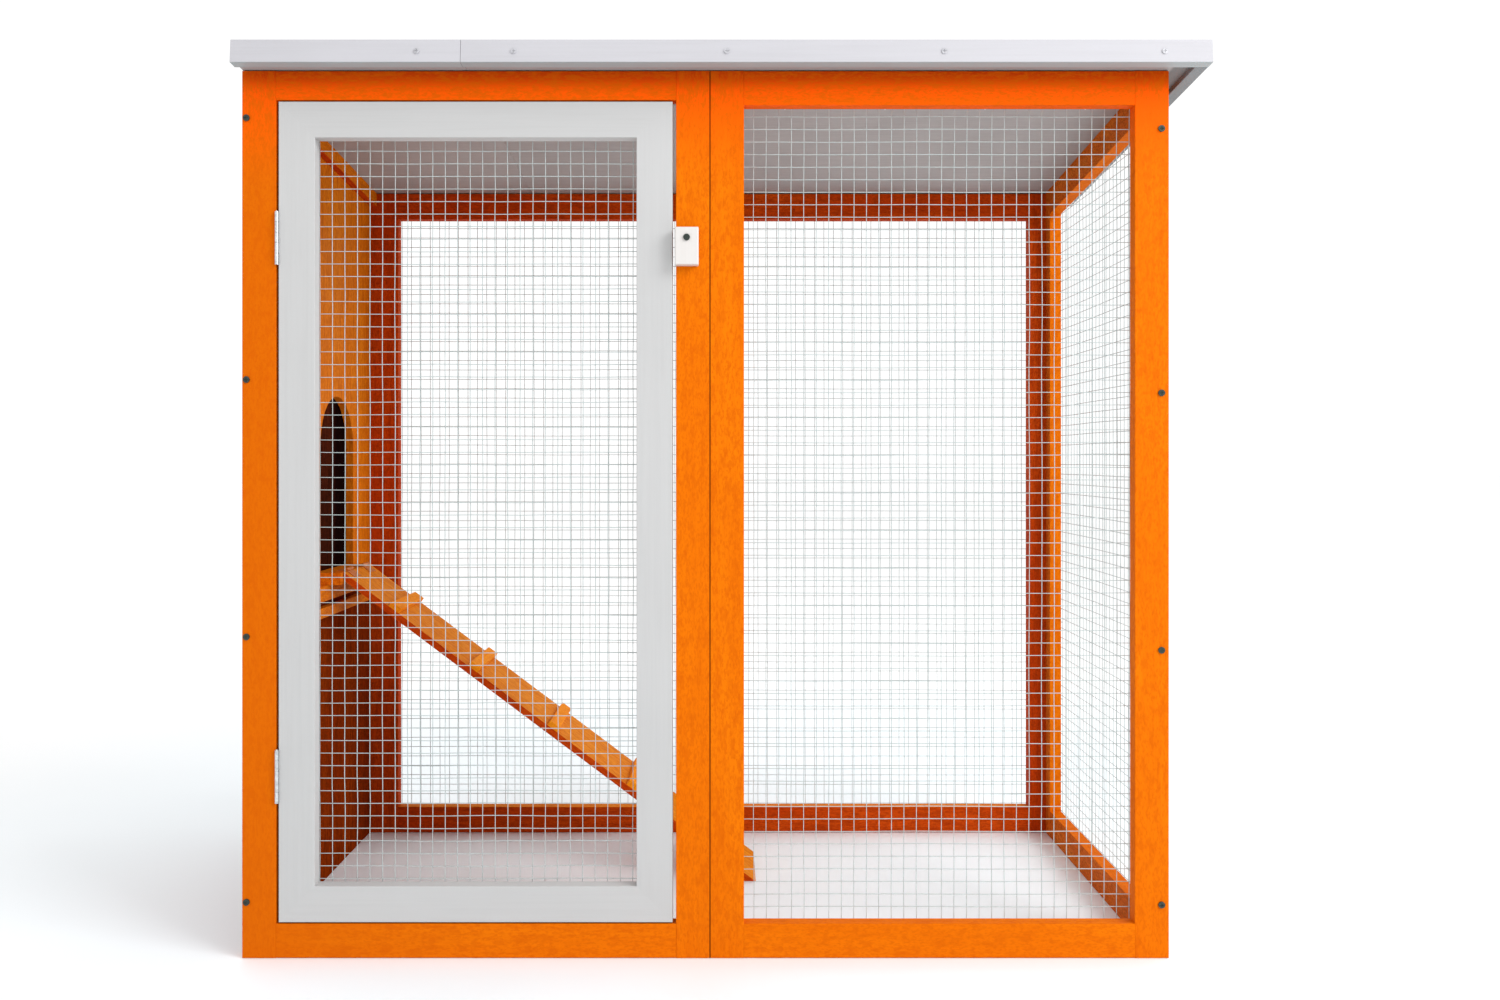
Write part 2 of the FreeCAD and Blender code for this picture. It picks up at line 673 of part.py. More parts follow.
parts["trim_front_right"] = on_roof(crossbar(roof_split, trim_end, front_a0, deck_a0,
                                             trim_z0, trim_z1))
parts["trim_side"] = on_roof(depthbar(deck_x1, trim_end, deck_a0, deck_a1, trim_z0, trim_z1))
parts["trim_back"] = on_roof(crossbar(0, trim_end, deck_a1, back_a1, trim_z0, trim_z1))
for name in ("roof_deck_left", "roof_deck_right", "trim_front_left", "trim_front_right",
             "trim_side"):
    parts[name] = drilled(parts[name], trim_holes)

# Holes for the screws in the laths they hold
for name in ("front_door_panel_left_stile", "front_fixed_panel_right_stile",
             "side_panel_front_stile"):
    parts[name] = drilled(parts[name], front_screw_holes)
parts["front_door_panel_left_stile"] = drilled(parts["front_door_panel_left_stile"],
                                               frame_leaf_holes)
parts["door_hinge_stile"] = drilled(parts["door_hinge_stile"], door_leaf_holes)
parts["front_door_panel_right_stile"] = drilled(parts["front_door_panel_right_stile"],
                                                [button_hole])

# Middle of the footprint, from the pieces that reach furthest each way
left_reach = shutter_out - knob_length
right_reach = trim_end + trim_screw_crown
front_reach = lath_thickness + (front_a0 - trim_screw_crown - lath_thickness) * roof_cos
front_reach += (trim_screw_z - deck_z - trim_screw_head) * roof_sin
back_reach = lath_thickness + (back_a1 - lath_thickness) * roof_cos
back_reach += (trim_height - trim_drop) * roof_sin
to_middle = vec(-(left_reach + right_reach) / 2, -(front_reach + back_reach) / 2, 0)

os.makedirs("parts", exist_ok=True)
for name, shape in sorted(parts.items()):
    shape.translate(to_middle)
    problems = [n for n, s in enumerate(shape.Solids) if not s.isValid() or s.Volume <= 0]
    if not shape.Solids or problems:
        print("unsound", name, problems)
    shape.exportStep("parts/" + name + ".step")

whole = Part.makeCompound(list(parts.values())).BoundBox
print("nodes", len(parts))
print("box", [round(v, 2) for v in (whole.XMin, whole.YMin, whole.ZMin,
                                    whole.XMax, whole.YMax, whole.ZMax)])
print("to middle", round(to_middle.x, 3), round(to_middle.y, 3))
print("door hinge", round(hinge_x + to_middle.x, 3), round(-hinge_axis_forward + to_middle.y, 3))
print("button", round(button_x + to_middle.x, 3), round(to_middle.y, 3), button_height)
print("ramp hinge", round(axis_x + to_middle.x, 3), round(axis_z, 3))
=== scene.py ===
import bpy
import math
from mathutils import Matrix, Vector


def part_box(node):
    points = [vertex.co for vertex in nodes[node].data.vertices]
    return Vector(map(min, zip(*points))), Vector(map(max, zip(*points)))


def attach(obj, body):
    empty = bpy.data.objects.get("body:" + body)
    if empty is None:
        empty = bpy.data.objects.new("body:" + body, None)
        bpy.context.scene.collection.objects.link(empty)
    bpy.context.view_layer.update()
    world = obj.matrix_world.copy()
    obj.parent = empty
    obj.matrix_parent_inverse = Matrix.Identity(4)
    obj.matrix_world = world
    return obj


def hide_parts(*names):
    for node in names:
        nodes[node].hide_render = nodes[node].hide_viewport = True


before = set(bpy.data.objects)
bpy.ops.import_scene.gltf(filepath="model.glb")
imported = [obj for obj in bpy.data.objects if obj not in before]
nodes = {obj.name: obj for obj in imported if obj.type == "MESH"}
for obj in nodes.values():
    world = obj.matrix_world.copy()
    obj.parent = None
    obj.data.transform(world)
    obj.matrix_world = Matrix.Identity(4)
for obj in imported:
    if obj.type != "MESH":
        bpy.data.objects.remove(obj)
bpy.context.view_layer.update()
bpy.ops.object.select_all(action="DESELECT")
print("run: loaded", len(nodes), "nodes")


# A number on a socket, so that sums on it add their own Math nodes
class Amount:
    def __init__(self, paint, socket):
        self.paint = paint
        self.socket = socket

    def sums(self, operation, first, second):
        return self.paint.add("ShaderNodeMath", {"operation": operation}, {0: first, 1: second})

    def __add__(self, other):
        return self.sums("ADD", self, other)

    def __sub__(self, other):
        return self.sums("SUBTRACT", self, other)

    def __rsub__(self, other):
        return self.sums("SUBTRACT", other, self)

    def __mul__(self, other):
        return self.sums("MULTIPLY", self, other)

    __radd__ = __add__
    __rmul__ = __mul__


# One material, built node by node
class Paint:
    def __init__(self, name):
        self.material = bpy.data.materials.new(name)
        self.material.use_nodes = True
        self.tree = self.material.node_tree
        self.tree.nodes.clear()
        self.here = self.add("ShaderNodeTexCoord", output="Object")

    def add(self, kind, settings=None, values=None, output=0):
        node = self.tree.nodes.new(kind)
        for key, value in (settings or {}).items():
            setattr(node, key, value)
        for key, value in (values or {}).items():
            if isinstance(value, Amount):
                self.tree.links.new(value.socket, node.inputs[key])
            else:
                node.inputs[key].default_value = value
        return Amount(self, node.outputs[output])

    def stretched(self, scale, shift=(0, 0, 0), turn=(0, 0, 0)):
        start = self.here
        if any(turn):
            start = self.add("ShaderNodeMapping", None, {"Vector": start, "Rotation": turn})
        return self.add("ShaderNodeMapping", None, {"Vector": start, "Scale": scale, "Location": shift})

    def noise(self, place, scale=1.0, detail=3.0, rough=0.55, twist=0.0):
        return self.add("ShaderNodeTexNoise", None, {
            "Vector": place, "Scale": scale, "Detail": detail, "Roughness": rough, "Distortion": twist})

    def between(self, amount, low, high):
        return self.add("ShaderNodeMapRange", {"interpolation_type": "SMOOTHSTEP"}, {
            "Value": amount, "From Min": low, "From Max": high, "To Min": 0.0, "To Max": 1.0})

    def mix(self, share, first, second):
        shades = [c if isinstance(c, Amount) else (*c, 1) for c in (first, second)]
        return self.add("ShaderNodeMix", {"data_type": "RGBA"},
                        {0: share, 6: shades[0], 7: shades[1]}, output=2)   # the colour sockets

    def axis(self, name):
        return self.add("ShaderNodeSeparateXYZ", None, {0: self.here}, output=name)

    # How far a face looks along a direction
    def turned(self, way):
        looks = self.add("ShaderNodeTexCoord", output="Normal")
        return self.add("ShaderNodeVectorMath", {"operation": "DOT_PRODUCT"},
                        {0: looks, 1: way}, output="Value")

    def finish(self, colour, roughness, height=None, depth=0.0003, fixed=None):
        values = {"Base Color": colour, "Roughness": roughness}
        if height is not None:
            values["Normal"] = self.add("ShaderNodeBump", None, {
                "Strength": 0.5, "Distance": depth, "Height": height})
        values.update(fixed or {})
        shader = self.add("ShaderNodeBsdfPrincipled", None, values)
        self.addOutput(shader)
        return self.material

    def addOutput(self, shader):
        end = self.tree.nodes.new("ShaderNodeOutputMaterial")
        self.tree.links.new(shader.socket, end.inputs["Surface"])


# Colours of the stained and painted woods: the main tone, its darker grain and its paler grain
woodTones = {
    "orange": {"tone": (0.72, 0.150, 0.0006), "dark": (0.58, 0.098, 0.0004), "pale": (0.76, 0.178, 0.0012),
               "rough": 0.58, "grain": 0.34, "speckle": 0.60, "gloss": 0.03},
    "inside": {"tone": (0.74, 0.190, 0.004), "dark": (0.48, 0.090, 0.002), "pale": (0.80, 0.240, 0.010),
               "rough": 0.58, "grain": 0.55, "speckle": 0.50, "gloss": 0.03},
    # Painted shade: the red-brown of the shaded back laths, the downward faces of the ledges and the ramp
    # board's edges
    "redBrownShade": {"tone": (0.52, 0.048, 0.002), "dark": (0.30, 0.024, 0.001), "pale": (0.62, 0.085, 0.004),
                 "rough": 0.60, "grain": 0.60, "speckle": 0.55, "gloss": 0.03},
    # Painted shade: the shaded inward faces of the side panel
    "brownOrangeShade": {"tone": (0.60, 0.112, 0.008), "dark": (0.27, 0.052, 0.004), "pale": (0.72, 0.200, 0.020),
                    "rough": 0.60, "grain": 0.70, "speckle": 0.60, "gloss": 0.03},
    # Painted shade: the wall boards in the shade under the house
    "darkBrownShade": {"tone": (0.25, 0.028, 0.002), "dark": (0.11, 0.012, 0.001), "pale": (0.32, 0.046, 0.003),
                  "rough": 0.64, "grain": 0.70, "speckle": 0.50, "gloss": 0.0},
    # Painted shade: the shutter, its guides and knob drawn near black for the dark pop hole
    "nearBlackShade": {"tone": (0.050, 0.010, 0.004), "dark": (0.010, 0.003, 0.002), "pale": (0.11, 0.018, 0.006),
                  "rough": 0.70, "grain": 0.60, "speckle": 0.50, "gloss": 0.0},
    "ramp": {"tone": (0.74, 0.225, 0.006), "dark": (0.52, 0.110, 0.003), "pale": (0.80, 0.300, 0.018),
             "rough": 0.58, "grain": 0.60, "speckle": 0.45, "gloss": 0.03},
    "cleat": {"tone": (0.88, 0.29, 0.008), "dark": (0.66, 0.155, 0.004), "pale": (0.92, 0.36, 0.020),
              "rough": 0.58, "grain": 0.45, "speckle": 0.40, "gloss": 0.03},
}
# Painted shade: the front laths run redder towards the top under the roof overhang, darker still just under
# the trim, and darker to the left; the shutter's face seen through the pop hole goes near black; the stain
# dries dark in the seam
overhangShade = {"axis": "Z", "tone": (0.91, 0.088, 0.0005), "from": 0.76, "to": 0.885}
topShade = {"axis": "Z", "tone": (0.50, 0.042, 0.0005), "from": 0.864, "to": 0.886}
leftShade = {"axis": "X", "tone": (0.62, 0.120, 0.0006), "from": -0.16, "to": -0.56}
holeShade = {"axis": "Y", "tone": (0.006, 0.002, 0.002), "from": 0.066, "to": 0.084, "way": (1, 0, 0)}
seamStain = {"tone": (0.10, 0.020, 0.002), "width": 0.0011, "core": 0.0002, "share": 0.9}
# Size of each pattern across the grain and along it
grain = {"streaks": (260, 24), "flecks": (560, 230), "blots": (190, 80), "tone": (16, 4), "rings": (34, 1.6)}
paintTones = {
    "door": {"tone": (0.50, 0.50, 0.50), "dark": (0.46, 0.46, 0.46), "rough": 0.45},
    "trim": {"tone": (0.505, 0.50, 0.53), "dark": (0.455, 0.45, 0.475), "rough": 0.42},
    # Painted shade: the grey of the trims' shaded undersides and the side trim's shaded inner face
    "under": {"tone": (0.35, 0.40, 0.41)},
    "inner": {"tone": (0.20, 0.22, 0.23)},
    "button": {"tone": (0.66, 0.635, 0.615), "dark": (0.60, 0.575, 0.555), "rough": 0.48},
}


def grainScale(along, sizes):
    across, length = sizes
    return tuple(length if axis == along else across for axis in "XYZ")


# Stained softwood: streaks along the lath, short flecks, slow changes of tone and faint year rings
def stainedWood(name, look, along, seed, turn=(0, 0, 0), facing=None, shadeSteps=(), seam=None):
    paint = Paint(name)
    shift = (seed * 3.7 % 11, seed * 5.3 % 13, seed * 7.9 % 17)
    streaks = paint.noise(paint.stretched(grainScale(along, grain["streaks"]), shift, turn), 1, 4, 0.6)
    flecks = paint.noise(paint.stretched(grainScale(along, grain["flecks"]), shift, turn), 1, 2, 0.55)
    blots = paint.noise(paint.stretched(grainScale(along, grain["blots"]), shift, turn), 1, 3, 0.6)
    tone = paint.noise(paint.stretched(grainScale(along, grain["tone"]), shift, turn), 1, 2, 0.5)
    rings = paint.add("ShaderNodeTexWave", {"wave_type": "BANDS", "bands_direction": "DIAGONAL"}, {
        "Vector": paint.stretched(grainScale(along, grain["rings"]), shift, turn),
        "Scale": 1.0, "Distortion": 7.0, "Detail": 2.0, "Detail Scale": 0.6})
    dark = paint.between(streaks, 0.42, 0.72) * look["grain"]
    spots = paint.between(flecks, 0.45, 0.68) * look["speckle"]
    pale = paint.between(tone, 0.40, 0.66) * 0.6 + paint.between(blots, 0.45, 0.65) * 0.4
    colour = paint.mix(pale, look["tone"], look["pale"])
    # Painted shade steps along an axis, some only on faces looking one way
    for step in shadeSteps:
        share = paint.between(paint.axis(step["axis"]), step["from"], step["to"])
        if "way" in step:
            share = share * paint.between(paint.turned(step["way"]), 0.4, 0.6)
        colour = paint.mix(share, colour, step["tone"])
    colour = paint.mix(dark, colour, look["dark"])
    colour = paint.mix(spots, colour, look["dark"])
    colour = paint.mix(paint.between(blots, 0.47, 0.64) * look["speckle"] * 0.95, colour, look["dark"])
    colour = paint.mix(rings * 0.10, colour, look["dark"])
    if seam is not None:
        width, core = seamStain["width"], seamStain["core"]
        left = paint.between(paint.axis("X"), seam - width, seam - core)
        right = paint.between(paint.axis("X"), seam + core, seam + width)
        colour = paint.mix((left - right) * seamStain["share"], colour, seamStain["tone"])
    # Faces looking one way take another tone: painted shade on shaded faces, and on the back laths a painted
    # highlight on their upward faces
    if facing:
        way, limit, other = facing
        mask = paint.between(paint.turned(way), limit - 0.1, limit + 0.1)
        under = paint.mix(pale, other["tone"], other["pale"])
        under = paint.mix(dark, under, other["dark"])
        under = paint.mix(spots, under, other["dark"])
        colour = paint.mix(mask, under, colour)
    height = streaks * 0.4 + flecks * 0.45 + rings * 0.15
    roughness = look["rough"] + flecks * 0.16 - 0.06
    return paint.finish(colour, roughness, height, 0.0003, {"Specular IOR Level": look["gloss"]})


# Painted laths: brushed paint with the grain just showing through
def paintedWood(name, look, along, seed, shadedFaces=None):
    paint = Paint(name)
    shift = (seed * 3.1 % 11, seed * 5.9 % 13, seed * 7.3 % 17)
    brush = paint.noise(paint.stretched(grainScale(along, (420, 9)), shift), 1, 3, 0.55)
    fibre = paint.noise(paint.stretched(grainScale(along, (90, 5)), shift), 1, 3, 0.6, 0.6)
    peel = paint.noise(paint.stretched((520, 520, 520), shift), 1, 1, 0.5)
    tone = paint.noise(paint.stretched((7, 7, 7), shift), 1, 2, 0.5)
    share = paint.between(brush, 0.35, 0.75) * 0.35 + paint.between(tone, 0.35, 0.7) * 0.35
    share = share + paint.between(fibre, 0.5, 0.8) * 0.3
    colour = paint.mix(share, look["tone"], look["dark"])
    # Painted shade on the faces picked by the mask
    if shadedFaces:
        way, limit, tone = shadedFaces
        mask = paint.between(paint.turned(way), limit - 0.1, limit + 0.1)
        colour = paint.mix(mask, paint.mix(share, tone, tuple(c * 0.85 for c in tone)), colour)
    height = brush * 0.4 + fibre * 0.4 + peel * 0.2
    return paint.finish(colour, look["rough"] + peel * 0.12, height, 0.0002, {"Specular IOR Level": 0.25})


# Screws, hinges, staples and mesh wires
metalTones = {
    "paintedHead": {"tone": (0.52, 0.52, 0.55), "rough": 0.42, "metal": 0.25, "cloud": 0.72},
    "screw": {"tone": (0.065, 0.080, 0.072), "rough": 0.38, "metal": 0.9, "cloud": 0.72},
    "rampHinge": {"tone": (0.56, 0.150, 0.010), "rough": 0.55, "metal": 0.1, "cloud": 0.72},
    "hinge": {"tone": (0.66, 0.68, 0.70), "rough": 0.30, "metal": 0.85, "cloud": 0.72},
    "staple": {"tone": (0.62, 0.65, 0.65), "rough": 0.38, "metal": 0.6, "cloud": 0.72},
    "wire": {"tone": (0.45, 0.515, 0.515), "rough": 0.40, "metal": 0.0, "cloud": 0.88},
}


# Plated or painted steel, a little cloudy
def platedSteel(name, look, seed):
    paint = Paint(name)
    shift = (seed * 2.3 % 7, seed * 4.1 % 9, seed * 6.7 % 11)
    cloud = paint.noise(paint.stretched((260, 260, 260), shift), 1, 3, 0.6)
    fine = paint.noise(paint.stretched((1500, 1500, 1500), shift), 1, 2, 0.5)
    share = paint.between(cloud, 0.35, 0.7)
    colour = paint.mix(share, look["tone"], tuple(c * look["cloud"] for c in look["tone"]))
    return paint.finish(colour, look["rough"] + share * 0.12, fine, 0.00004, {"Metallic": look["metal"]})


# The eaves tone is painted shade for the overhang beyond the side panel
roofTones = {"board": (0.375, 0.355, 0.350), "eaves": (0.04, 0.05, 0.05), "darkChip": (0.05, 0.055, 0.055),
             "paleChip": (0.20, 0.21, 0.205), "worn": (0.09, 0.095, 0.09)}
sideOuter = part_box("front_fixed_panel_right_stile")[1].x


# Primed board under the roof, with faint long fibres and stains, and painted shade on the overhang past the
# side panel
def greyBoard(name, tone, seed):
    paint = Paint(name)
    shift = (seed * 2.9 % 7, seed * 4.7 % 9, seed * 6.1 % 11)
    fibre = paint.noise(paint.stretched((24, 420, 420), shift), 1, 4, 0.6)
    stain = paint.noise(paint.stretched((9, 5, 9), shift), 1, 3, 0.55)
    fleck = paint.noise(paint.stretched((700, 700, 700), shift), 1, 1, 0.5)
    share = paint.between(fibre, 0.35, 0.75) * 0.45 + paint.between(stain, 0.35, 0.7) * 0.4
    share = share + paint.between(fleck, 0.55, 0.75) * 0.15
    colour = paint.mix(share, tone, tuple(c * 0.80 for c in tone))
    # Painted shade on the roof board's underside beyond the side panel
    beyond = paint.between(paint.axis("X"), sideOuter, sideOuter + 0.004)
    colour = paint.mix(beyond * 0.6, colour, roofTones["eaves"])
    return paint.finish(colour, 0.62 + fleck * 0.1, fibre * 0.6 + fleck * 0.4, 0.0002)


# Roofing felt with its mineral chips
def mineralFelt(name):
    paint = Paint(name)
    chips = paint.add("ShaderNodeTexVoronoi", {"feature": "F1"}, {
        "Vector": paint.stretched((620, 620, 620)), "Scale": 1.0, "Randomness": 1.0}, output="Distance")
    shade = paint.noise(paint.stretched((480, 480, 480)), 1, 2, 0.7)
    wide = paint.noise(paint.stretched((5, 5, 5)), 1, 3, 0.5)
    colour = paint.mix(paint.between(shade, 0.3, 0.7), roofTones["darkChip"], roofTones["paleChip"])
    colour = paint.mix(paint.between(wide, 0.35, 0.7) * 0.4, colour, roofTones["worn"])
    return paint.finish(colour, 0.85 + shade * 0.1, 1 - chips, 0.0007)


def coat(node, material):
    item = nodes[node]
    if not item.material_slots:
        item.data.materials.append(material)
    for place in item.material_slots:
        place.material = material


def longest(node):
    low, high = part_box(node)
    size = high - low
    return "XYZ"[max(range(3), key=lambda n: size[n])]


rampTurn = {"slope": math.atan(0.75)}
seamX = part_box("front_fixed_panel_left_stile")[0].x
print("run: finishes")
for seed, node in enumerate(sorted(nodes)):
    way = longest(node)
    if node.startswith(("front_door_panel", "front_fixed_panel")):
        meets = node in ("front_door_panel_right_stile", "front_fixed_panel_left_stile")
        # Painted shade towards the top and the left of the front laths
        coat(node, stainedWood("orangeLath_" + node, woodTones["orange"], way, seed,
                               shadeSteps=(leftShade, overhangShade, topShade), seam=seamX if meets else None))
    elif node.startswith("side_panel"):
        # Painted shade on the side panel's inward faces
        coat(node, stainedWood("sideLath_" + node, woodTones["orange"], way, seed,
                               facing=((1, 0, 0), -0.5, woodTones["brownOrangeShade"])))
    elif node.startswith(("back_left_panel", "back_right_panel")):
        # Painted shade over the back laths, with a painted highlight in the paler inside tone on their
        # upward faces
        coat(node, stainedWood("backLath_" + node, woodTones["redBrownShade"], way, seed,
                               facing=((0, 0, -1), -0.5, woodTones["inside"])))
    elif node == "wall_upper_boards":
        coat(node, stainedWood("wallBoards", woodTones["inside"], "Z", seed))
    elif node == "wall_lower_boards":
        # Painted shade on the lower wall boards
        coat(node, stainedWood("lowBoards", woodTones["darkBrownShade"], "Z", seed))
    elif node in ("wall_rails", "wall_top_batten", "landing_board"):
        # Painted shade on the downward faces of the ledges
        coat(node, stainedWood("ledge_" + node, woodTones["inside"], "Y", seed,
                               facing=((0, 0, 1), -0.5, woodTones["redBrownShade"])))
    elif node == "ramp_board":
        # Painted shade on the ramp board's edges and underside; its upward face keeps the plain tone
        coat(node, stainedWood("rampBoard", woodTones["ramp"], "X", seed, (0, -rampTurn["slope"], 0),
                               facing=((0, 0, 1), 0.5, woodTones["redBrownShade"])))
    elif node == "ramp_cleats":
        coat(node, stainedWood("rampCleats", woodTones["cleat"], "Y", seed))
    elif node in ("shutter", "shutter_guides", "shutter_knob"):
        # Painted shade: the shutter parts near black as the dark pop hole, darkest on the shutter's face
        # seen through the hole
        coat(node, stainedWood("shutterWood_" + node, woodTones["nearBlackShade"], "Z", seed,
                               shadeSteps=(holeShade,) if node == "shutter" else ()))
    elif node.startswith("door_") and node.endswith(("rail", "stile")):
        coat(node, paintedWood("doorPaint_" + node, paintTones["door"], way, seed))
    elif node == "turn_button":
        coat(node, paintedWood("buttonPaint", paintTones["button"], "Z", seed))
    elif node.startswith("trim_") and node != "trim_screws":
        # Painted shade on the trims' undersides and the side trim's inner face
        away = ((1, 0, 1), 0.3, "inner") if node == "trim_side" else ((0, 0, 1), -0.5, "under")
        coat(node, paintedWood("trimPaint_" + node, paintTones["trim"], way, seed,
                               (*away[:2], paintTones[away[2]]["tone"])))
    elif node.startswith("roof_deck"):
        coat(node, greyBoard("roofBoard_" + node, roofTones["board"], seed))
    elif node == "roof_felt":
        coat(node, mineralFelt("roofFelt"))
    elif node == "trim_screws":
        coat(node, platedSteel("paintedHeads", metalTones["paintedHead"], seed))
    elif node.endswith("screws") or node.endswith("screw"):
        coat(node, platedSteel("screwZinc_" + node, metalTones["screw"], seed))
    elif node.startswith("ramp_hinge"):
        coat(node, platedSteel("stainedHinge_" + node, metalTones["rampHinge"], seed))
    elif "hinge" in node:
        coat(node, platedSteel("hingeZinc_" + node, metalTones["hinge"], seed))
    else:
        coat(node, platedSteel("wireZinc_" + node, metalTones["staple"], seed))

# Round welded wires in place of the frame's square ones
weldedMesh = {"radius": 0.0004, "sides": 6, "pitch": 0.0127, "sway": 0.0014, "bulge": 0.0008,
              "swayLength": 0.07, "inset": 0.00055, "tail": 0.002, "roofFall": 0.085}
meshes = {"door_wires": {"node": "door_mesh", "body": "door", "thin": "Y"},
          "front_wires": {"node": "front_fixed_mesh", "body": "run", "thin": "Y"},
          "back_left_wires": {"node": "back_left_mesh", "body": "run", "thin": "Y"},
          "back_right_wires": {"node": "back_right_mesh", "body": "run", "thin": "Y"},
          "side_wires": {"node": "side_mesh", "body": "run", "thin": "X"}}


def freshWire(start, way, length, steps):
    bpy.ops.object.select_all(action="DESELECT")
    turn = Vector((0, 0, 1)).rotation_difference(way).to_euler()
    bpy.ops.mesh.primitive_circle_add(vertices=weldedMesh["sides"], radius=weldedMesh["radius"],
                                      fill_type="NGON", location=start, rotation=turn)
    wire = bpy.context.object
    bpy.ops.object.transform_apply(location=True, rotation=True, scale=True)
    bpy.ops.object.mode_set(mode="EDIT")
    bpy.ops.mesh.select_all(action="SELECT")
    for _ in range(steps):
        bpy.ops.mesh.extrude_region_move(TRANSFORM_OT_translate={"value": way * (length / steps)})
    bpy.ops.mesh.select_all(action="SELECT")
    bpy.ops.mesh.normals_make_consistent(inside=False)
    bpy.ops.object.mode_set(mode="OBJECT")
    return wire


def repeated(item, count, step):
    rows = item.modifiers.new("rows", "ARRAY")
    rows.count = count
    rows.use_relative_offset = False
    rows.use_constant_offset = True
    rows.constant_offset_displace = step
    bpy.context.view_layer.objects.active = item
    bpy.ops.object.modifier_apply(modifier=rows.name)


def swayed(item, direction, strength, seed):
    cloud = bpy.data.textures.new(item.name + "Sway" + direction, "CLOUDS")
    cloud.noise_scale = weldedMesh["swayLength"] * (1 + 0.35 * seed)
    cloud.noise_depth = 1
    sway = item.modifiers.new("sway", "DISPLACE")
    sway.texture = cloud
    sway.texture_coords = "LOCAL"
    sway.direction = direction
    sway.strength = strength
    sway.mid_level = 0.5
    bpy.context.view_layer.objects.active = item
    bpy.ops.object.modifier_apply(modifier=sway.name)


def roundMesh(name, node, body, thin, seed):
    low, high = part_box(node)
    half, pitch, tail = weldedMesh["inset"], weldedMesh["pitch"], weldedMesh["tail"]
    flat = 0 if thin == "Y" else 1             # the level direction of this mesh
    thick = 1 - flat
    width = high[flat] - low[flat] - 2 * half
    rise = high.z - low.z - 2 * half
    columns = int(round(width / pitch))
    rows = int(rise / pitch + 0.01)
    level = Vector((1, 0, 0)) if flat == 0 else Vector((0, 1, 0))
    outward = Vector((0, 0, 0))
    outward[thick] = 1
    corner = Vector(low)
    corner[flat] += half
    corner.z += half
    corner[thick] += half
    lying = freshWire(corner - level * tail, level, width + 2 * tail, columns * 2)
    repeated(lying, rows + 1, (0, 0, pitch))
    step = level * (width / columns)
    standing = freshWire(corner + outward * 2 * half - Vector((0, 0, tail)), Vector((0, 0, 1)),
                         rise + 2 * tail, rows * 2)
    repeated(standing, columns + 1, step)
    bpy.ops.object.select_all(action="DESELECT")
    standing.select_set(True)
    lying.select_set(True)
    bpy.context.view_layer.objects.active = lying
    bpy.ops.object.join()
    lying.name = name
    lying.data.name = name
    if node == "side_mesh":                    # its top edge follows the roof
        fall = weldedMesh["roofFall"]
        top = high.z + fall * low.y
        bpy.ops.object.mode_set(mode="EDIT")
        bpy.ops.mesh.select_all(action="SELECT")
        bpy.ops.mesh.bisect(plane_co=(0, 0, top), plane_no=(0, fall, 1), clear_outer=True, use_fill=True)
        bpy.ops.object.mode_set(mode="OBJECT")
    swayed(lying, "XYZ"[flat], weldedMesh["sway"], seed)
    swayed(lying, "Z", weldedMesh["sway"], seed + 0.5)
    swayed(lying, "XYZ"[thick], weldedMesh["bulge"], seed + 0.8)
    lying.data.shade_smooth()
    lying.data.materials.clear()
    lying.data.materials.append(platedSteel("weldedWire_" + name, metalTones["wire"], seed * 7 + 3))
    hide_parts(node)
    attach(lying, body)
    print("run: wires of", name, len(lying.data.polygons))
    return lying


for seed, name in enumerate(meshes):
    roundMesh(name, meshes[name]["node"], meshes[name]["body"], meshes[name]["thin"], seed)

# Pale floor, soft light and the camera
# Painted light: the floor is paler far from the run, standing in for the lit backdrop, and cool-tinted near
# the run to cancel the orange bounce
studio = {"sky": 1.06, "floor": (0.89, 0.95, 0.98), "farFloor": (0.96, 0.96, 0.96), "nearTo": 0.7,
          "farFrom": 1.6, "size": 80, "drop": 0.0005, "aim": (0.1, 0, 0.5)}
lamps = {"keyLight": {"place": (2.2, -1.6, 2.0), "size": 1.5, "power": 60},
         "sideLight": {"place": (2.4, 0.3, 0.8), "size": 1.2, "power": 5}}
viewpoint = {"place": (0.01095, -1.39798, 0.4995), "tilt": 90, "sensor": 36, "lens": 28.56,
             "shiftX": 0.01767, "shiftY": -0.0277, "reach": 200}


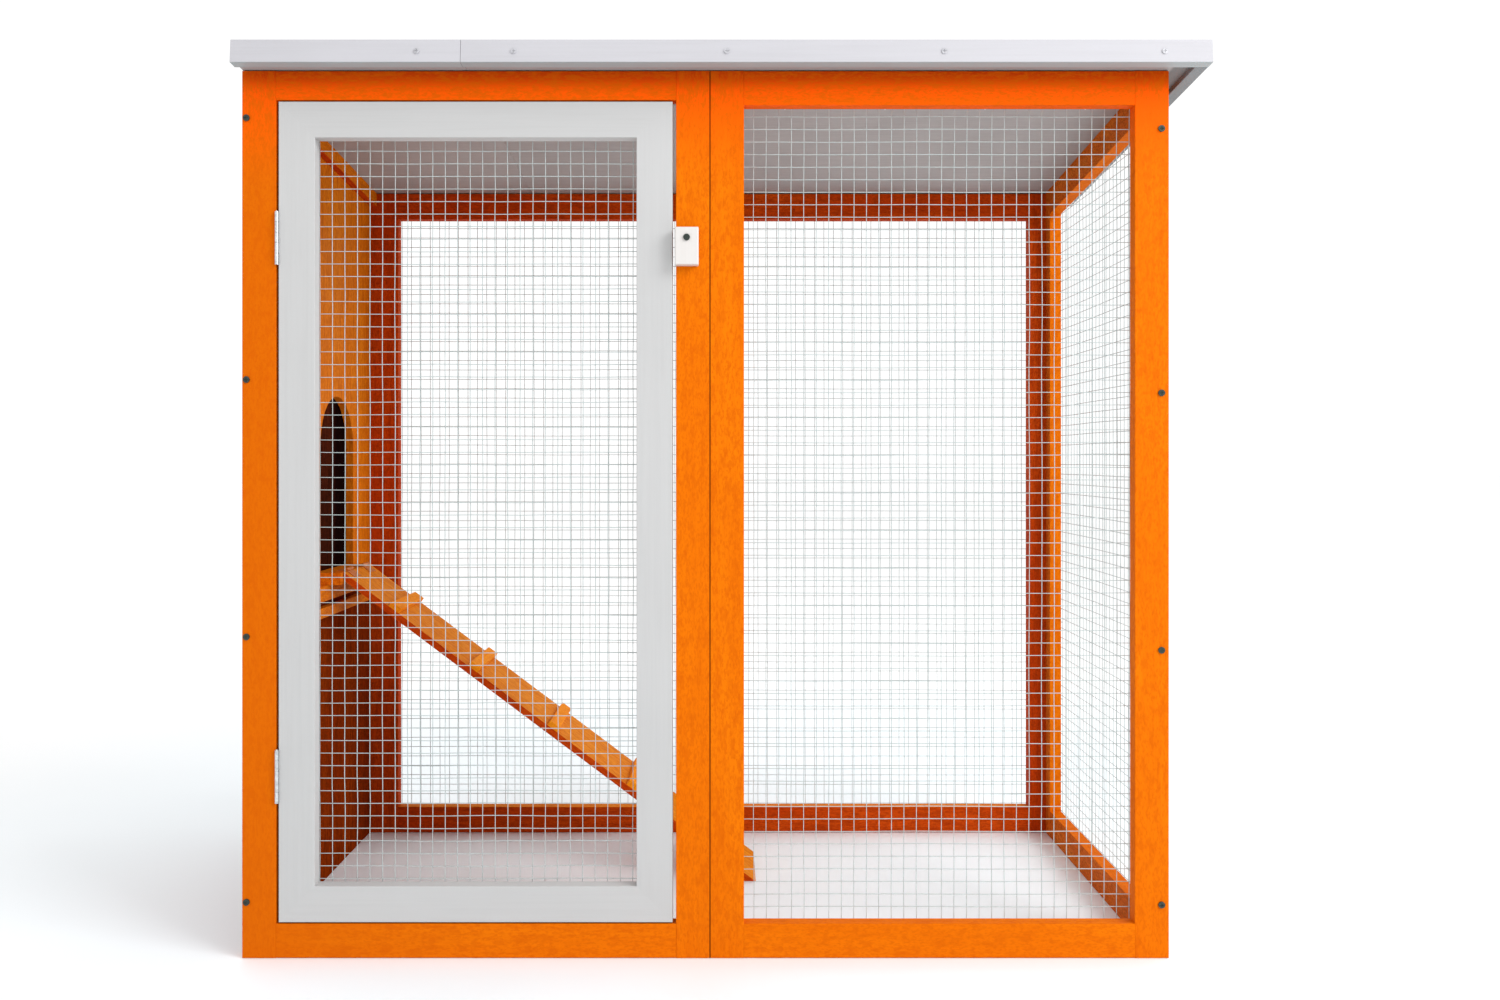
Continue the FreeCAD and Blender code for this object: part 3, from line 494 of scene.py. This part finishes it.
def paleFloor():
    paint = Paint("paleFloor")
    cloud = paint.noise(paint.stretched((3, 3, 3)), 1, 2, 0.5)
    fine = paint.noise(paint.stretched((160, 160, 160)), 1, 2, 0.5)
    tone = studio["floor"]
    colour = paint.mix(paint.between(cloud, 0.3, 0.7), tone, tuple(c * 0.98 for c in tone))
    reach = paint.add("ShaderNodeVectorMath", {"operation": "LENGTH"}, {0: paint.here}, output="Value")
    # Painted light: paler floor far from the run
    far = paint.between(reach, studio["nearTo"], studio["farFrom"])
    colour = paint.mix(far, colour, studio["farFloor"])
    bpy.ops.object.select_all(action="DESELECT")
    bpy.ops.mesh.primitive_plane_add(size=studio["size"], location=(0, 0, -studio["drop"]))
    floor = bpy.context.object
    bpy.ops.object.transform_apply(location=True, rotation=True, scale=True)
    floor.name = "studio_floor"
    floor.data.materials.append(paint.finish(colour, 0.55 + fine * 0.1))


def softLight():
    world = bpy.data.worlds.new("whiteRoom")
    world.use_nodes = True
    back = world.node_tree.nodes["Background"]
    back.inputs["Color"].default_value = (1, 1, 1, 1)
    back.inputs["Strength"].default_value = studio["sky"]
    bpy.context.scene.world = world
    for name, soft in lamps.items():
        bpy.ops.object.light_add(type="AREA", location=soft["place"])
        lamp = bpy.context.object
        lamp.name = name
        lamp.data.size = soft["size"]
        lamp.data.energy = soft["power"]
        toward = Vector(studio["aim"]) - Vector(soft["place"])
        lamp.rotation_euler = toward.to_track_quat("-Z", "Y").to_euler()


def seenFrom():
    bpy.ops.object.camera_add(location=viewpoint["place"], rotation=(math.radians(viewpoint["tilt"]), 0, 0))
    camera = bpy.context.object
    camera.name = "frontCamera"
    camera.data.sensor_width = viewpoint["sensor"]
    camera.data.lens = viewpoint["lens"]
    camera.data.shift_x = viewpoint["shiftX"]
    camera.data.shift_y = viewpoint["shiftY"]
    camera.data.clip_end = viewpoint["reach"]
    bpy.context.scene.camera = camera
    bpy.context.scene.view_settings.view_transform = "Standard"


paleFloor()
softLight()
seenFrom()
print("run: floor, light and camera")
bpy.ops.object.select_all(action="DESELECT")
